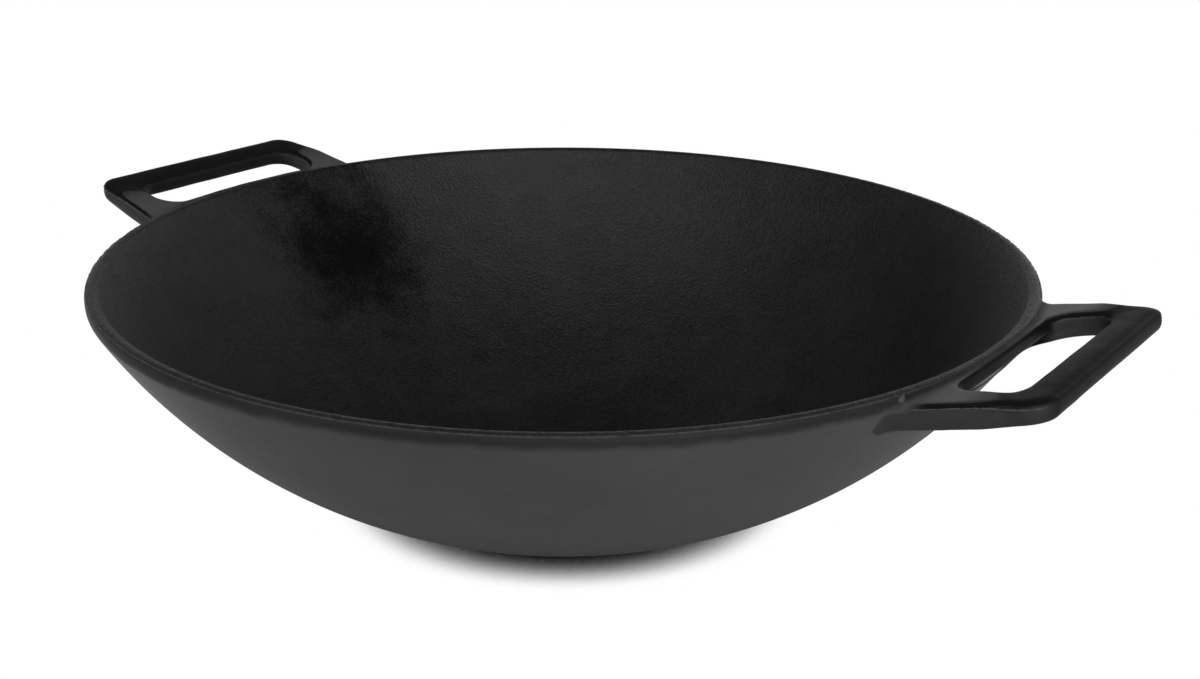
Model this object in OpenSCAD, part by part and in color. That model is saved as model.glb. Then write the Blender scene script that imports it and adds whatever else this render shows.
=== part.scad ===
// Cast iron wok with a flat foot and two frame handles, poured as one casting.
// Each region of the casting is a solid of its own, and the solids meet face to face.

/* [Bowl] */
// Outside diameter at the rim
bowl_d = 356; // [300:1:420]
// Height from the table to the top of the rim
bowl_h = 96; // [80:1:115]
// Radius of the outside curve of the side, in section
side_r = 195; // [170:1:260]
// Thickness of the side wall
wall_t = 6; // [4:0.5:8]

/* [Foot] */
// Diameter of the flat foot
foot_d = 124; // [90:1:150]
// Height of the step that lifts the curved side off the table
foot_step = 2; // [1:0.5:4]
// Thickness of the floor above the step
floor_t = 5; // [3.5:0.5:8]

/* [Rim] */
// Height of the upright band below the top of the rim
lip_h = 4.5; // [3.5:0.5:8]
// Rounding of the outer edge of the rim
lip_outer_r = 2.2; // [1:0.1:2.8]
// Rounding of the inner edge of the rim
lip_inner_r = 3; // [1:0.1:3.8]

/* [Handles] */
// Upward tilt of the handles, in degrees
tilt = 13.8; // [0:0.1:20]
// Depth of the middle of the handle below the rim, where the two meet
handle_drop = 5.2; // [4.2:0.1:9]
// Distance from the rim to the outer edge of the grip, along the handle
reach = 36.3; // [29:0.1:50]
// Outside width of the handle at the rim
handle_w = 116.4; // [102:0.1:140]
// How far each side of the handle draws in between the rim and the grip
handle_taper = 3.5; // [0:0.1:6]
// Width of an arm beside the rim, seen from above
arm_root_w = 13.3; // [10:0.1:17]
// Width of an arm beside the grip, seen from above
arm_tip_w = 10.5; // [9:0.1:14]
// Thickness of the handle at the rim
arm_t = 9.5; // [7:0.1:12]
// Width of the grip, seen from above
grip_w = 13.7; // [10:0.1:17]
// Thickness of the grip
grip_t = 7.9; // [6:0.1:11]
// Rounding of the outer corners of the handle, seen from above
corner_r = 8.8; // [5:0.1:12]

/* [Finger window] */
// Metal between the rim and the window, at the middle of the handle
web_t = 1; // [0.6:0.1:4]
// Rounding of the corners of the window
window_corner_r = 10.3; // [4:0.1:12]

/* [Hidden] */

// Colour of seasoned iron
iron = "#2c2c2d";
// Steps round a full turn of the bowl
$fn = 180;

// Section of the bowl, as [distance from the axis, height]
rim_r = bowl_d / 2;
foot_r = foot_d / 2;
floor_z = foot_step + floor_t;
lip_z = bowl_h - lip_h;
foot_edge = [foot_r, foot_step];
lip_edge = [rim_r, lip_z];

// Centre of the arc of radius r that bulges down and outwards from a to b
function arc_centre(a, b, r) =
    let (half = (b - a) / 2, side = [-half[1], half[0]] / norm(half))
    a + half + side * sqrt(r * r - half * half);

side_centre = arc_centre(foot_edge, lip_edge, side_r);
inside_r = side_r - wall_t;

// The lower and the upper half of the wall meet at the middle of the arc
chord_middle = (foot_edge + lip_edge) / 2;
middle_z = (side_centre + unit(chord_middle - side_centre) * side_r)[1];

// The rounding of the inner edge touches the top of the rim and the inside curve
inner_round_z = bowl_h - lip_inner_r;
inner_round_x = side_centre[0]
    + sqrt(pow(inside_r + lip_inner_r, 2) - pow(side_centre[1] - inner_round_z, 2));
inner_round = [inner_round_x, inner_round_z];
inner_touch = side_centre + (inner_round - side_centre) * inside_r / (inside_r + lip_inner_r);

// Plan of one handle, as [distance from the rim, distance to the side]
outer_root = [0, handle_w / 2];
outer_tip = outer_root + [reach, -handle_taper];
outer_middle = [reach, 0];
window_far = reach - grip_w;
window_root = [web_t, outer_root[1] - arm_root_w];
window_tip = [window_far, outer_tip[1] - arm_tip_w];
window_root_middle = [web_t, 0];
window_tip_middle = [window_far, 0];
// The four corners of the window leave a short straight side between them
window_r_share = 0.48;
window_r = min(window_corner_r, (window_far - web_t) * window_r_share);

// Half width of the handle where the arms leave the root
root_half_w = handle_side(web_t)[1];
// How far the root runs in under the bowl's skin before it is cut to the skin
root_in = 2 * arm_t + handle_w * handle_w / (8 * rim_r);

// Exponent of the rounded section: 2 is an ellipse, more is squarer
section_power = 2.6;
// Points round a section, and steps round a corner
section_points = 28;
corner_steps = 10;

// A point on the outer side of an arm
function handle_side(x) = outer_root + (outer_tip - outer_root) * x / reach;

function unit(v) = v / norm(v);
function turned(v, a) = [v[0] * cos(a) - v[1] * sin(a), v[0] * sin(a) + v[1] * cos(a)];
function smooth_step(t) = t * t * (3 - 2 * t);

// Points of the arc that rounds the corner at b, on the way from a to c
function corner_arc(a, b, c, r) =
    let (
        back = unit(a - b), on = unit(c - b), half = acos(back * on) / 2,
        centre = b + unit(back + on) * r / sin(half),
        start = b + back * r / tan(half) - centre,
        way = sign(back[1] * on[0] - back[0] * on[1])
    )
    [for (i = [0:corner_steps]) centre + turned(start, way * (180 - 2 * half) * i / corner_steps)];

root_arc = corner_arc(window_root_middle, window_root, window_tip, window_r);
inner_arc = corner_arc(window_root, window_tip, window_tip_middle, window_r);
outer_arc = corner_arc(outer_root, outer_tip, outer_middle, corner_r);

// A section of the handle, as [outer point, inner point, half thickness]
function root_section(i) = [handle_side(root_arc[i][0]), root_arc[i], arm_t / 2];
function bend_section(i) = [
    outer_arc[i], inner_arc[i],
    (arm_t + (grip_t - arm_t) * smooth_step(i / corner_steps)) / 2,
];
function mirrored(s) = [[s[0][0], -s[0][1]], [s[1][0], -s[1][1]], s[2]];

arm_sections = [
    for (i = [0:corner_steps]) root_section(i),
    for (i = [0:corner_steps / 2]) bend_section(i),
];
grip_sections = [
    for (i = [corner_steps / 2:corner_steps]) bend_section(i),
    for (i = [corner_steps:-1:corner_steps / 2]) mirrored(bend_section(i)),
];

function rounded(c) = sign(c) * pow(abs(c), 2 / section_power);
function section_ring(s) = [
    for (k = [0:section_points - 1])
        let (
            a = 360 * k / section_points,
            p = (s[0] + s[1]) / 2 + (s[0] - s[1]) / 2 * rounded(cos(a))
        )
        [p[0], p[1], s[2] * rounded(sin(a))],
];

// A closed bar through a list of sections
module bar(sections) {
    last = len(sections) - 1;
    m = section_points;
    points = [for (s = sections) each section_ring(s)];
    faces = concat(
        [for (i = [0:last - 1], k = [0:m - 1]) [i * m + k, i * m + (k + 1) % m, (i + 1) * m + k]],
        [for (i = [0:last - 1], k = [0:m - 1])
            [i * m + (k + 1) % m, (i + 1) * m + (k + 1) % m, (i + 1) * m + k]],
        [for (k = [1:m - 2]) [0, k + 1, k]],
        [for (k = [1:m - 2]) [last * m, last * m + k, last * m + k + 1]]
    );
    polyhedron(points, faces);
}

// Puts a handle at the right of the bowl, or at the left when turned by half a turn
module at_handle(turn) {
    rotate([0, 0, turn])
        translate([rim_r, 0, bowl_h - handle_drop])
            rotate([0, -tilt, 0])
                children();
}

// The upright band's outline, with its outer edge rounded
module lip_outline() {
    translate([0, lip_z]) square([rim_r, lip_h - lip_outer_r]);
    translate([0, lip_z]) square([rim_r - lip_outer_r, lip_h]);
    translate([rim_r - lip_outer_r, bowl_h - lip_outer_r]) circle(lip_outer_r);
}

// Everything inside the outer skin, from the table to the top of the rim
module outer_outline() {
    square([foot_r, floor_z]);
    intersection() {
        translate(side_centre) circle(side_r);
        translate([0, foot_step]) square([rim_r, lip_z - foot_step]);
    }
    lip_outline();
}

// The hollow, with the inner edge of the rim rounded
module hollow_outline() {
    intersection() {
        translate(side_centre) circle(inside_r);
        translate([0, floor_z]) square([rim_r, bowl_h]);
    }
    difference() {
        polygon([inner_round, inner_touch, [inner_touch[0], bowl_h], [inner_round[0], bowl_h]]);
        translate(inner_round) circle(lip_inner_r);
    }
}

module bowl_outline() {
    difference() {
        outer_outline();
        hollow_outline();
    }
}

// The part of the bowl's section in a box from low to high
module bowl_ring(low, high) {
    color(iron) rotate_extrude()
        intersection() {
            bowl_outline();
            translate(low) square(high - low);
        }
}

module flat_base() {
    bowl_ring([0, 0], [foot_r, lip_z]);
}

module lower_wall() {
    bowl_ring([foot_r, 0], [rim_r, middle_z]);
}

module upper_wall() {
    bowl_ring([foot_r, middle_z], [rim_r, lip_z]);
}

module rim() {
    bowl_ring([foot_r, lip_z], [rim_r, bowl_h]);
}

// The root is a slab with round sides, cut to the outer skin of the bowl
module root(turn) {
    color(iron) difference() {
        at_handle(turn)
            translate([-root_in, 0, 0])
                rotate([90, 0, 90])
                    linear_extrude(root_in + web_t) {
                        square([2 * root_half_w - arm_t, arm_t], center = true);
                        for (side = [-1, 1])
                            translate([side * (root_half_w - arm_t / 2), 0]) circle(d = arm_t);
                    }
        rotate_extrude() {
            outer_outline();
            translate([0, lip_z]) square([rim_r - lip_outer_r, bowl_h]);
        }
    }
}

module arm(turn, side) {
    color(iron) at_handle(turn)
        scale([1, side, 1]) bar(arm_sections);
}

module grip(turn) {
    color(iron) at_handle(turn) bar(grip_sections);
}

flat_base();
lower_wall();
upper_wall();
rim();
root(0);  // right_root
arm(0, -1);  // right_front_arm
arm(0, 1);  // right_rear_arm
grip(0);  // right_grip
root(180);  // left_root
arm(180, 1);  // left_front_arm
arm(180, -1);  // left_rear_arm
grip(180);  // left_grip
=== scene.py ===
"""Looks of a cast iron wok: its bowl, its two handles, the flash left by the mould, and a plain studio."""
import itertools
import math

import bpy
import numpy as np
from bpy.props import FloatProperty, FloatVectorProperty, IntProperty, PointerProperty
from mathutils import Matrix, Vector, noise


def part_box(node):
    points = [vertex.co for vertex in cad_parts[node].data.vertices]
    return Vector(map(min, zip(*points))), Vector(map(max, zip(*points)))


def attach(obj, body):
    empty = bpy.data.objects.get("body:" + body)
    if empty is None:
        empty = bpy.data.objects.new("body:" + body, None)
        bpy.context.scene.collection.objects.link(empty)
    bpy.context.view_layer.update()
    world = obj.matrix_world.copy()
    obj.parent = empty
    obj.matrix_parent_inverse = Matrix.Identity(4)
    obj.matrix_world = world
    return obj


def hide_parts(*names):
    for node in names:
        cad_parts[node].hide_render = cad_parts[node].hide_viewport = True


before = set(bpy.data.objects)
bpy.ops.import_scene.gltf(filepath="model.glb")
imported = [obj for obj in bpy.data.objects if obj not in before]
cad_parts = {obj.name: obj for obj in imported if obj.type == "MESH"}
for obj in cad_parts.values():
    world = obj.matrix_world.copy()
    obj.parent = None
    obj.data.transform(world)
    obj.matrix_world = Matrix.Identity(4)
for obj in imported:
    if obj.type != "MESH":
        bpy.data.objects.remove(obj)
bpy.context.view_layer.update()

bl_info = {
    "name": "Cast iron wok",
    "version": (1, 0, 0),
    "blender": (4, 5, 0),
    "location": "3D View > Sidebar > Wok",
    "description": "Makes the bowl, the handles and the mould flash of a cast iron wok, and a plain studio",
    "category": "Add Mesh",
}

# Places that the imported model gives, in metres
RIM_LOW, RIM_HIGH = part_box("rim")
FOOT_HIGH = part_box("flat_base")[1]
BODY = "root"

MM = 0.001
TAU = 2 * math.pi

# Each lamp's turn off the camera's look, to the right, and rise, in degrees; width, height and power
LAMPS = {
    "Right key": (135.0, 50.0, 1.2, 1.0, 15.0),
    "Left key": (-125.0, 50.0, 1.2, 1.0, 12.5),
    "Front key": (180.0, 52.0, 1.0, 0.7, 15.7),
    "Low key": (150.0, 12.0, 1.0, 0.5, 18.0),
    "Back right": (45.0, 25.0, 1.0, 0.5, 3.0),
}

WHITE = (1.0, 1.0, 1.0)
# Looks that the floor takes about itself at each point for its shadows
SKY_SAMPLES = 14

# Detail and roughness of each kind of noise in the iron, whose scales are in its look
NOISES = {
    "patch": (3.0, 0.55),
    "blotch": (3.0, 0.6),
    "pebble": (2.0, 0.55),
    "sand": (2.0, 0.6),
    "dent": (1.0, 0.5),
    "brow": (2.0, 0.6),
    "stain_and_shade": (3.0, 0.6),
}
SKIN_NOISES = ("patch", "blotch", "pebble", "sand", "dent")
# Bands of the patches and blotches over which the skin turns worn, and of the pebbles that show inside
PATCH_BAND, BLOTCH_BAND, SPECKLE_BAND = (0.35, 0.7), (0.4, 0.7), (0.35, 0.65)
# Shares of the patches and blotches in the wear, and of the patches and pebbles in the roughness
WEAR_SHARES, ROUGH_SHARES = (0.6, 0.4), (0.16, 0.12)
# Shares of the pebbles, sand and dents in the grain outside and inside
GRAIN_SHARES, SAND_GRAIN_SHARES = (0.6, 0.25, 1.6), (1.0, 0.35, 0.5)
# Shares of the pebbles and of the wear in the inside's colour
SPECKLE_SHARES = (0.5, 0.5)
# Share of the wall over which the outside's look becomes the inside's, to each side of its middle
INSIDE_BLEND_SHARE = 0.25

# Steps of the bowl's section, of the floor's, and of a seam along an arm and round its bend
SECTION_STEPS = {
    "foot": 5, "toe": 4, "heel": 5, "side": 90, "turn": 5, "brow": 10, "edge": 9, "bend": 12, "floor": 5,
}
FLOOR_STEPS, COVE_STEPS, FLOOR_TURNS = 6, 12, 64
SEAM_STEPS, SEAM_BEND_STEPS = 60, 15

# Greatest share of the window's depth that the rounding of a corner may take
WINDOW_ROUND_SHARE = 0.48
# Space of the handle's net beside and beyond it, above and below it, and in past the rim
NET_MARGIN, NET_RISE, NET_BACK = 2 * MM, 1 * MM, 6 * MM
# Shares of a cell over which slopes are taken, and that keeps a division from zero
SLOPE_SHARE, TINY_SHARE = 0.05, 1e-6
# Times that points are moved on to the surface, and the least slope and length that this divides by
PULLS, LEAST_SLOPE, LEAST_LENGTH = 4, 1e-6, 1e-12
# Distances under which points of an outline, and of a turned body, are one, in metres
SAME_PLACE, WELD = 1e-7, 1e-6
# Part of a step that makes up for rounding when points are counted off in columns
ROUNDING = 0.5 / 4096
# Digits that the sidebar shows of a size
DIGITS = 5

# Inputs of the flash's tree that its sizes give, the sides of its tube, and the detail of its noises
FLASH_INPUTS = ("Bead", "Step", "Bead scale", "Stretch scale", "Thin", "Swell")
FLASH_SIDES, FLASH_DETAIL, SEED_STEP = 8, 1.0, 10.0
# Bands of those noises over which a bead and a beaded stretch rise
BEAD_BAND, STRETCH_BAND = (0.38, 0.58), (0.3, 0.5)

# Height, width and depth of the lump's ridge and of its two knobs, in shares of its size
KNOB_SHARES = ((-0.3, 0.42, 0.55), (0.1, 0.3, 0.3), (0.42, 0.36, 0.34))
# How tall a knob is for its width, how far two knobs blend, and how deep the lump's swells are
KNOB_TALL_SHARE, KNOB_BLEND_SHARE, LUMP_ROUGH_SHARE = 1.25, 0.25, 0.07
# Swells and cells in the lump's size
LUMP_SWELLS, LUMP_CELLS = 2.6, 24


def length(name, description, value):
    """A size in metres."""
    return FloatProperty(name=name, description=description, default=value, unit="LENGTH", precision=DIGITS)


def angle(name, description, degrees):
    """A turn, given in degrees."""
    return FloatProperty(
        name=name, description=description, default=math.radians(degrees), unit="ROTATION"
    )


def share(name, description, value):
    """A plain number."""
    return FloatProperty(name=name, description=description, default=value)


def colour(name, description, value):
    """A colour of three parts."""
    return FloatVectorProperty(
        name=name, description=description, default=value, subtype="COLOR", size=3, min=0.0, max=1.0
    )


class WokBowl(bpy.types.PropertyGroup):
    """Sizes of the bowl's section."""

    rim_radius: length("Rim radius", "Outside radius of the rim", RIM_HIGH.y)
    height: length("Height", "Height of the top of the rim", RIM_HIGH.z)
    lip_height: length("Lip height", "Height of the upright band of the rim", RIM_HIGH.z - RIM_LOW.z)
    side_radius: length("Side radius", "Radius of the outside curve of the side", 195 * MM)
    wall: length("Wall", "Thickness of the side", 6 * MM)
    foot_radius: length("Foot radius", "Radius of the flat foot", FOOT_HIGH.x)
    foot_step: length("Foot step", "Height of the step above the table", 2 * MM)
    floor: length("Floor", "Height of the inside floor above the table", 7 * MM)
    toe_round: length("Toe round", "Rounding of the foot's lower edge", 0.6 * MM)
    heel_round: length("Heel round", "Rounding where the step meets the side", 0.8 * MM)
    turn_round: length("Turn round", "Rounding where the side turns into the lip", 3 * MM)
    outer_round: length("Outer round", "Rounding of the rim's outer edge", 2.2 * MM)
    inner_round: length("Inner round", "Rounding of the rim's inner edge", 3 * MM)
    floor_round: length("Floor round", "Rounding where the inside curve meets the floor", 60 * MM)
    turns: IntProperty(name="Turns", description="Steps round the bowl", default=256, min=24)


class WokHandle(bpy.types.PropertyGroup):
    """Sizes of one handle, measured in its own tilted plane."""

    tilt: angle("Tilt", "Upward tilt of the handle", 13.8)
    drop: length("Drop", "Depth of the handle's middle below the rim where the two meet", 5.2 * MM)
    reach: length("Reach", "Distance from the rim to the outer edge of the grip", 36.3 * MM)
    width: length("Width", "Outside width of the handle at the rim", 116.4 * MM)
    taper: length("Taper", "How far each side draws in towards the grip", 3.5 * MM)
    arm_root: length("Arm root", "Width of an arm beside the rim", 13.3 * MM)
    arm_tip: length("Arm tip", "Width of an arm beside the grip", 10.5 * MM)
    arm_thick: length("Arm thickness", "Thickness of the handle at the rim", 9.5 * MM)
    grip_width: length("Grip width", "Width of the grip", 13.6 * MM)
    grip_thick: length("Grip thickness", "Thickness of the grip", 7.5 * MM)
    web: length("Web", "Metal between the rim and the window", 1 * MM)
    corner: length("Corner", "Rounding of the outer corners in plan", 9.6 * MM)
    window_corner: length("Window corner", "Rounding of the window's corners in plan", 10.3 * MM)
    bend_turn: angle("Bend turn", "Turn of the corner over which an arm's section becomes the grip's", 50)
    arm_seam: length("Arm seam", "Height of the seam above the middle of an arm", 2.8 * MM)
    grip_seam: length("Grip seam", "Height of the seam above the middle of the grip", 1.4 * MM)
    arm_brow: length("Arm brow", "Width of the rounding above the seam of an arm", 2.1 * MM)
    grip_brow: length("Grip brow", "Width of the rounding above the seam of the grip", 6.6 * MM)
    belly: length("Belly", "Width of the rounding below the seam", 3.4 * MM)
    power: share("Power", "Exponent of the rounded section, where 2 is a circle", 2.5)
    relief_top: length("Relief top", "Underside of the web, below the middle", 0.8 * MM)
    relief_in: length("Relief in", "How far the hollow under the web runs in past the rim", 6 * MM)
    relief_inset: length("Relief inset", "Metal left between that hollow and the arms", 0.4 * MM)
    relief_corner: length("Relief corner", "Rounding of that hollow in plan", 19 * MM)
    relief_round: length("Relief round", "Rounding of that hollow's edge", 1.4 * MM)
    fillet: length("Fillet", "Size of the blend between handle and bowl", 4 * MM)
    fillet_rise: length("Fillet rise", "How far the blend may climb above the handle's top", 1 * MM)
    fillet_round: length("Fillet round", "Rounding of the blend's upper edge", 1.2 * MM)
    skin_lift: length("Skin lift", "Depth of the thinnest edge of the blend on the bowl", 0.03 * MM)
    bury: length("Bury", "How far the root runs in under the bowl's skin", 1 * MM)
    cell: length("Cell", "Cell size of the net that the handle is meshed on", 0.6 * MM)
    waver: length("Waver", "Depth of the hand-cast unevenness", 0.12 * MM)
    waver_size: length("Waver size", "Size of the swells of the unevenness", 11 * MM)


class WokFlash(bpy.types.PropertyGroup):
    """Sizes of the beaded line that the mould's joint leaves."""

    bead: length("Bead", "Radius of the largest beads", 0.38 * MM)
    step: length("Step", "Distance between the rings of the line", 0.35 * MM)
    sink: length("Sink", "How far the line's middle lies under the skin", 0.12 * MM)
    bead_scale: share("Bead scale", "Beads in a metre of the line", 520.0)
    stretch_scale: share("Stretch scale", "Beaded stretches in a metre of the line", 60.0)
    thin: share("Thin", "Share of the bead's radius that the line keeps between beads", 0.12)
    swell: share("Swell", "Share of the radius that each bead adds", 0.58)
    rim_turn: angle("Rim turn", "Place of the line on the rim's outer rounding, above level", 47.0)
    seam_in: length("Seam in", "How far the arms' seams run in past the rim", 7 * MM)
    lump_size: length("Lump size", "Size of the lump of burnt-on iron on the rim", 3 * MM)
    lump_turn: angle("Lump turn", "Place of the lump round the rim", -18.9)
    lump_lean: angle("Lump lean", "How far the lump leans along the rim", -20.0)
    lump_drop: length("Lump drop", "Depth of the lump below the top of the rim", 2.8 * MM)


class WokIron(bpy.types.PropertyGroup):
    """Look of the seasoned iron, with painted shade on its upper sides."""

    skin: colour("Skin", "Colour of the outside's skin", (0.036, 0.036, 0.0365))
    worn: colour("Worn", "Colour of the outside where the skin is thin", (0.044, 0.0438, 0.0435))
    # Painted shade: the dark skin is a near-black, less glossy copy of the skin. It stands in for shade on
    # the rim, the grips, the arms and the rim's flash, and the sizes from here down to the corner share
    # place it.
    painted_shade: colour("Dark skin", "Colour of the rim and of the grips", (0.004, 0.004, 0.0041))
    painted_shade_worn: colour("Dark worn", "Colour there where the skin is thin", (0.006, 0.006, 0.006))
    painted_shade_specular: share("Dark specular", "Strength of the dark skin's plain reflection", 0.014)
    rim_shade: share("Rim dark", "How far the dark skin covers the rim", 0.72)
    flash_shade: share("Flash dark", "How far the dark skin covers the flash on the rim", 0.3)
    arm_shade: share("Arm dark", "How far the dark skin covers an arm below its seam", 0.42)
    shade_from: length("Dark from", "Depth below the rim's top where the dark skin ends", 5.9 * MM)
    shade_blend: length("Dark blend", "Height over which the dark skin fades", 3.2 * MM)
    shade_ragged: length("Dark ragged", "Height of the dark skin's ragged edge", 4 * MM)
    brow_fade: length("Brow fade", "Height over which the dark brow above a seam fades", 0.4 * MM)
    brow_ragged: length("Brow ragged", "Height of that brow's ragged edge", 1.6 * MM)
    under_fade: length("Under fade", "Height over which the dark skin below a seam fades", 1.2 * MM)
    grip_fade: length("Grip fade", "Distance over which a grip turns dark", 22 * MM)
    grip_from: length("Grip from", "Distance from the rim at which a handle starts to turn dark", 6 * MM)
    brow_start: length("Brow start", "How far in past the rim the dark brow starts", 8 * MM)
    side_fade: length("Side fade", "Distance over which the dark side of a web fades", 2 * MM)
    end_fade: length("End fade", "Distance over which that dark side ends beside an arm", 8 * MM)
    corner_shade: share("Corner dark", "Share of the grip's dark skin on the arms' outer corners", 0.5)
    oiled: colour("Oiled", "Colour of the hollows of the inside", (0.0004, 0.0004, 0.0004))
    sandy: colour("Sandy", "Colour of the inside's pebbles", (0.0095, 0.0095, 0.0095))
    # Painted shade and burnt oil: the dark patch inside is partly burnt oil and partly painted shade where
    # no lamp is mirrored, and the sizes from here down place it.
    stain_and_shade: colour("Stain", "Colour of the burnt oil on the inside", (0.001, 0.001, 0.001))
    stain_and_shade_place: FloatVectorProperty(
        name="Stain place", description="Middle of the stain, from above", default=(-0.146, 0.028),
        subtype="TRANSLATION", size=2, precision=DIGITS,
    )
    stain_and_shade_wide: length("Stain wide", "Half width of the stain", 41 * MM)
    stain_and_shade_high: length("Stain high", "Half depth of the stain, from above", 48 * MM)
    stain_and_shade_core: share("Stain core", "Share of the stain's reach that is full", 0.12)
    stain_and_shade_scale: share("Stain scale", "Scale of the stain's ragged edge", 60.0)
    stain_and_shade_ragged: share("Stain ragged", "Strength of the stain's ragged edge", 1.1)
    stain_and_shade_speckled: share("Stain speckled", "Strength of the grain in the stain's edge", 0.9)
    stain_and_shade_specular: share("Stain specular", "Strength of the stain's plain reflection", 0.03)
    roughness: share("Roughness", "Mean roughness of the skin", 0.4)
    specular: share("Specular", "Strength of the skin's plain reflection", 0.064)
    inner_specular: share("Inner specular", "Strength of the plain reflection inside", 0.175)
    patch_scale: share("Patch scale", "Scale of the broad patches", 14.0)
    blotch_scale: share("Blotch scale", "Scale of the small blotches", 70.0)
    dent_scale: share("Dent scale", "Scale of the shallow dents", 190.0)
    brow_scale: share("Brow scale", "Scale of the brow's ragged edge", 190.0)
    pebble_scale: share("Pebble scale", "Scale of the pebbled grain", 880.0)
    sand_scale: share("Sand scale", "Scale of the finest grain", 1700.0)
    grain: length("Grain", "Depth of the grain outside", 0.06 * MM)
    sand_grain: length("Sand grain", "Depth of the grain inside", 0.5 * MM)


class WokStudio(bpy.types.PropertyGroup):
    """Floor, lamps and camera."""

    floor_radius: length("Floor radius", "Radius of the flat floor", 3.0)
    cove: length("Cove", "Height of the low wall that the floor runs up into", 0.9)
    contact: length("Contact", "Reach of the tight shadow under the foot", 17 * MM)
    contact_dark: share("Contact dark", "Open share of the sky at which that shadow is black", 0.13)
    contact_light: share("Contact light", "Open share of the sky at which that shadow ends", 0.55)
    shade: length("Shade", "Reach of the wide shadow that the iron mirrors", 200 * MM)
    distance: length("Lamp distance", "Distance of the lamps from the bowl", 2.0)
    paint: colour("Paint", "Colour of the floor's paint", (0.8, 0.8, 0.8))
    sky: share("Sky", "Grey of the surroundings", 0.22)
    focal: share("Focal length", "Camera's focal length in millimetres", 47.24)
    sensor: share("Sensor", "Width of the camera's sensor in millimetres", 36.0)
    view_depth: length("View depth", "Farthest distance that the camera sees", 50.0)
    place: FloatVectorProperty(
        name="Camera place", description="Where the camera stands", default=(0.3496, -0.46591, 0.27256),
        subtype="TRANSLATION", size=3, precision=DIGITS,
    )
    heading: angle("Heading", "Turn of the camera's look from straight ahead to the left", 35.579)
    pitch: angle("Pitch", "How far the camera looks down", 20.053)
    roll: angle("Roll", "How far the camera leans", 0.401)


def points_of(*parts):
    """Joins stretches of an outline and drops the points where one starts on the end of the last."""
    joined = np.concatenate([np.atleast_2d(p) for p in parts])
    keep = np.ones(len(joined), bool)
    keep[1:] = np.linalg.norm(np.diff(joined, axis=0), axis=1) > SAME_PLACE
    return joined[keep]


def arc(centre, start, end, steps):
    """Points the shorter way round centre, from start to end."""
    centre, start, end = np.array(centre), np.array(start), np.array(end)
    first = math.atan2(*(start - centre)[::-1])
    last = math.atan2(*(end - centre)[::-1])
    turn = (last - first + math.pi) % TAU - math.pi
    angles = first + turn * np.linspace(0, 1, steps + 1)
    radius = np.linalg.norm(start - centre)
    return centre + radius * np.stack([np.cos(angles), np.sin(angles)], -1)


def line(start, end, steps):
    """Points straight from start to end."""
    return np.linspace(start, end, steps + 1)


class Section:
    """Half section of the bowl, as [distance from the axis, height]."""

    def __init__(self, s):
        self.sizes = s
        foot = np.array([s.foot_radius, s.foot_step])
        lip = np.array([s.rim_radius, s.height - s.lip_height])
        half = (lip - foot) / 2
        across = np.array([-half[1], half[0]]) / np.linalg.norm(half)
        self.centre = foot + half + across * math.sqrt(s.side_radius**2 - half @ half)

    def below(self, x, radius):
        """Lower point at distance x from the axis on a circle about the side's centre."""
        return np.array([x, self.centre[1] - math.sqrt(radius**2 - (x - self.centre[0]) ** 2)])

    def beside(self, z, radius):
        """Outer point at height z on a circle about the side's centre."""
        return np.array([self.centre[0] + math.sqrt(radius**2 - (self.centre[1] - z) ** 2), z])

    def onto(self, point, radius):
        """The point moved straight out from the side's centre to a distance."""
        way = point - self.centre
        return self.centre + way * radius / np.linalg.norm(way)

    def outer(self):
        """The skin from the foot's edge up and over to the inner end of the flat top."""
        s, steps = self.sizes, SECTION_STEPS
        heel = self.below(s.foot_radius + s.heel_round, s.side_radius + s.heel_round)
        turn = self.below(s.rim_radius - s.turn_round, s.side_radius - s.turn_round)
        brow = np.array([s.rim_radius - s.outer_round, s.height - s.outer_round])
        start, end = self.onto(heel, s.side_radius), self.onto(turn, s.side_radius)
        return points_of(
            arc(heel, (s.foot_radius, heel[1]), start, steps["heel"]),
            arc(self.centre, start, end, steps["side"]),
            arc(turn, end, (s.rim_radius, turn[1]), steps["turn"]),
            arc(brow, (s.rim_radius, brow[1]), (brow[0], s.height), steps["brow"]),
        )

    def whole(self):
        """The closed half section, from the middle of the foot to the middle of the floor."""
        s, steps = self.sizes, SECTION_STEPS
        inside = s.side_radius - s.wall
        toe = (s.foot_radius - s.toe_round, s.toe_round)
        edge = self.beside(s.height - s.inner_round, inside + s.inner_round)
        bend = self.beside(s.floor + s.floor_round, inside - s.floor_round)
        start, end = self.onto(edge, inside), self.onto(bend, inside)
        return points_of(
            line((0, 0), (toe[0], 0), steps["foot"]),
            arc(toe, (toe[0], 0), (s.foot_radius, toe[1]), steps["toe"]),
            self.outer(),
            arc(edge, (edge[0], s.height), start, steps["edge"]),
            arc(self.centre, start, end, steps["side"]),
            arc(bend, end, (bend[0], s.floor), steps["bend"]),
            line((bend[0], s.floor), (0, s.floor), steps["floor"]),
        )


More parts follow.
